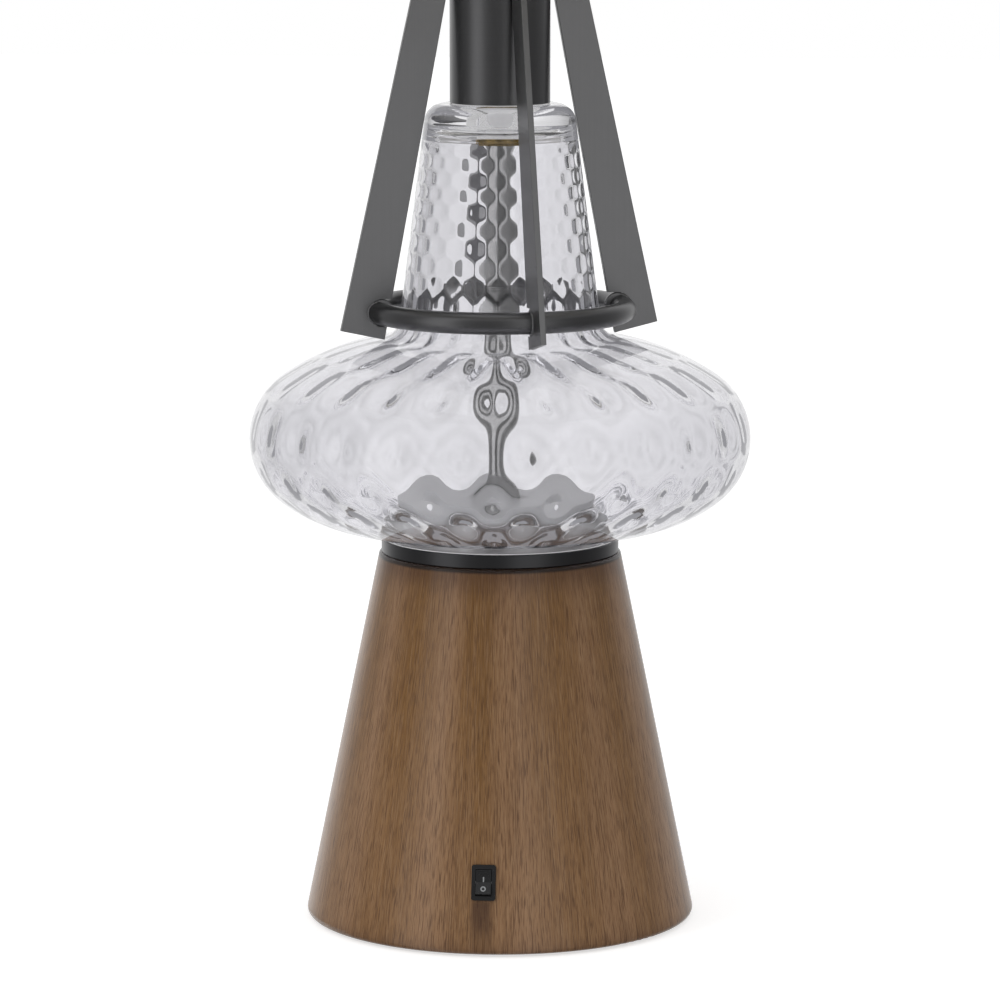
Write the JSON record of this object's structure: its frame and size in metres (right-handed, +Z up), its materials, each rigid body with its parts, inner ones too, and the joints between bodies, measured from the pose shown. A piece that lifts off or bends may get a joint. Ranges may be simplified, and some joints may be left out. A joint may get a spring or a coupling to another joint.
{
  "type": "table lamp",
  "caption": "Table lamp with a turned wood cone base, a clear blown-glass bottle body, a black metal neck with a barred cage and ring, and a drum shade on a harp.",
  "frame": {"origin": "centre of the lamp's axis on the table, under the rubber feet", "axes": "+Z up along the lamp's axis, -Y towards the switch, +Y towards the cord inlet, +X along the harp"},
  "size_m": [0.3799, 0.38, 0.6761],
  "materials": {
    "walnut": "satin lacquered walnut",
    "cast_iron": "rough painted",
    "zinc_steel": "zinc plated",
    "black_steel": "satin black, brushed",
    "black_plastic": "fine satin",
    "black_rubber": "matt",
    "clear_rubber": "translucent seal",
    "nickel": "satin nickel",
    "brass": "satin",
    "clear_glass": "clear, optic diamond pattern inside",
    "frosted_glass": "frosted white",
    "lead_jacket": "matt",
    "linen": "plain weave linen on a stiff lining",
    "wire_white": "satin white",
    "porcelain": "glazed"
  },
  "bodies": {
    "lamp": {"wood_base": "walnut", "base_plate": "black_steel", "base_plate_screws": "zinc_steel", "rubber_feet": "black_rubber", "ballast_weight": "cast_iron", "rod_washer": "zinc_steel", "rod_lock_nut": "zinc_steel", "threaded_rod": "zinc_steel", "cord_bushing": "black_plastic", "switch_housing": "black_plastic", "rocker_pin": "zinc_steel", "switch_terminals": "brass", "lamp_lead": "lead_jacket", "base_collar": "black_steel", "glass_foot_seal": "clear_rubber", "glass_seat_disc": "nickel", "glass_body": "clear_glass", "stem_tube": "nickel", "stem_nut": "brass", "stem_washer": "brass", "glass_top_seal": "clear_rubber", "neck_seal": "black_rubber", "neck_tube": "black_steel", "cage_bar_front": "black_steel", "cage_bar_right": "black_steel", "cage_bar_back": "black_steel", "cage_bar_left": "black_steel", "cage_ring": "black_steel", "neck_cap": "black_steel", "harp_saddle": "nickel", "harp_ferrules": "nickel", "harp_wire": "nickel", "harp_stud": "nickel", "socket_cap": "nickel", "socket_shell": "nickel", "socket_core": "porcelain", "screw_shell": "brass", "centre_contact": "brass"},
    "rocker": {"switch_rocker": "black_plastic"},
    "shade": {"shade_cover": "linen", "shade_spider": "wire_white", "shade_bottom_ring": "wire_white"},
    "finial_knob": {"finial": "nickel"},
    "bulb": {"bulb_cap": "nickel", "bulb_glass": "frosted_glass"}
  },
  "joints": [
    {"name": "rocker_tilt", "type": "hinge", "parent": "lamp", "child": "rocker", "pos_m": [0, -0.07909, 0.03144], "axis": [1, 0, 0], "range_deg": [0, 20]},
    {"name": "shade_turn", "type": "hinge", "parent": "lamp", "child": "shade", "pos_m": [0, 0, 0.652], "axis": [0, 0, 1], "continuous": true},
    {"name": "finial_turn", "type": "hinge", "parent": "lamp", "child": "finial_knob", "pos_m": [0, 0, 0.66], "axis": [0, 0, 1], "continuous": true},
    {"name": "bulb_turn", "type": "hinge", "parent": "lamp", "child": "bulb", "pos_m": [0, 0, 0.49], "axis": [0, 0, 1], "continuous": true}
  ]
}
